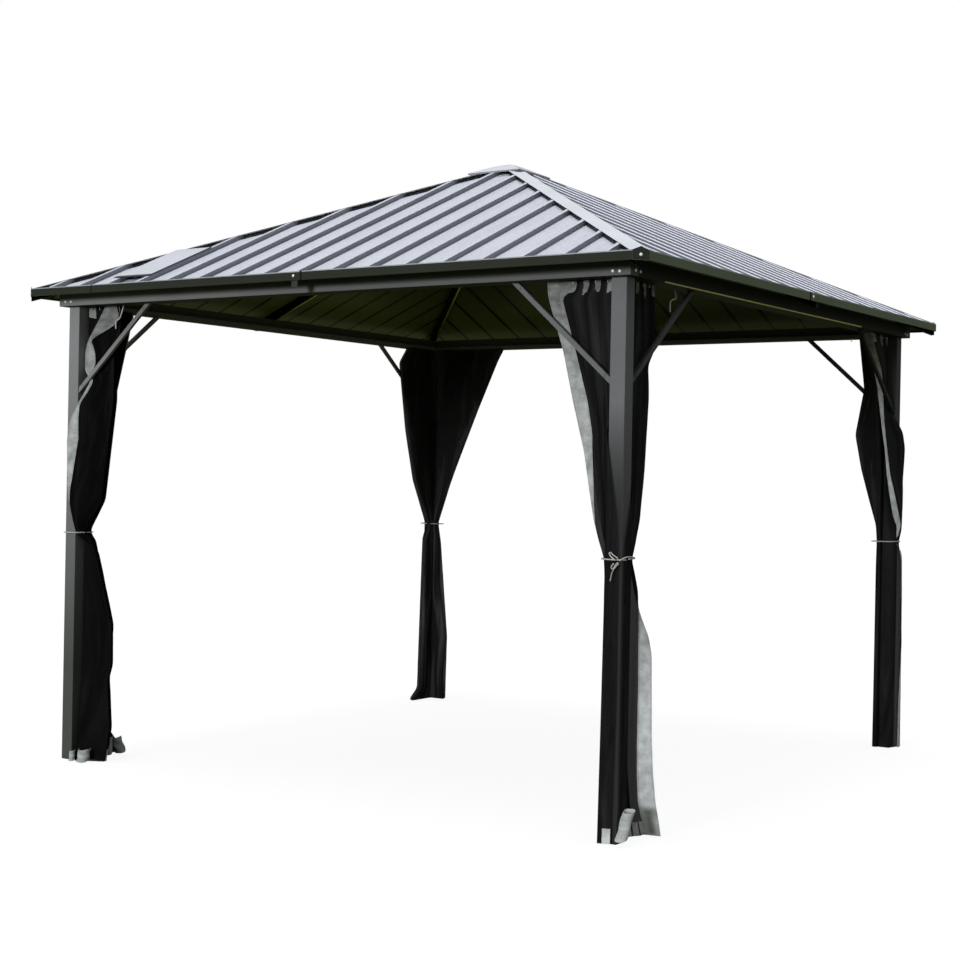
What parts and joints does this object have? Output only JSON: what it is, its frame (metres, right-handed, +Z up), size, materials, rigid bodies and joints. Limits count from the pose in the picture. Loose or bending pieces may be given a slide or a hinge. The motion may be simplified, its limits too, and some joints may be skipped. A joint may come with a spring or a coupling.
{
  "type": "gazebo",
  "caption": "Square open garden pavilion with a low ribbed metal pyramid roof on slim posts, knee braces under its beams, and netting tied back at the corners.",
  "frame": {"origin": "on the ground, at the middle of the square plan", "axes": "+Z up, +X to the right and +Y towards the back, with the front side facing -Y"},
  "size_m": [3, 3, 2.6715],
  "materials": {
    "frame_grey": "satin grey powder coat",
    "beam_grey": "satin grey powder coat",
    "trim_dark": "satin dark coat",
    "rafter_dark": "satin dark coat",
    "roof_pale": "pale coated sheet",
    "netting": "fine black mesh with grey borders",
    "cord": "thin woven cord"
  },
  "bodies": {
    "root": {"post_front_right": "frame_grey", "post_back_right": "frame_grey", "post_back_left": "frame_grey", "post_front_left": "frame_grey", "corner_block_front_right": "beam_grey", "corner_block_back_right": "beam_grey", "corner_block_back_left": "beam_grey", "corner_block_front_left": "beam_grey", "front_beam": "beam_grey", "right_beam": "beam_grey", "back_beam": "beam_grey", "left_beam": "beam_grey", "braces_front_right": "frame_grey", "braces_back_right": "frame_grey", "braces_back_left": "frame_grey", "braces_front_left": "frame_grey", "front_fascia": "trim_dark", "right_fascia": "trim_dark", "back_fascia": "trim_dark", "left_fascia": "trim_dark", "front_rafter": "rafter_dark", "right_rafter": "rafter_dark", "back_rafter": "rafter_dark", "left_rafter": "rafter_dark", "hip_rafter_front_right": "rafter_dark", "hip_rafter_back_right": "rafter_dark", "hip_rafter_back_left": "rafter_dark", "hip_rafter_front_left": "rafter_dark", "peak_block": "rafter_dark", "front_roof_panel": "roof_pale", "right_roof_panel": "roof_pale", "back_roof_panel": "roof_pale", "left_roof_panel": "roof_pale", "hip_cap_front_right": "roof_pale", "hip_cap_back_right": "roof_pale", "hip_cap_back_left": "roof_pale", "hip_cap_front_left": "roof_pale", "top_cap": "roof_pale", "netting_front_right": "netting", "netting_back_right": "netting", "netting_back_left": "netting", "netting_front_left": "netting", "tie_front_right": "cord", "tie_back_right": "cord", "tie_back_left": "cord", "tie_front_left": "cord"}
  },
  "joints": []
}
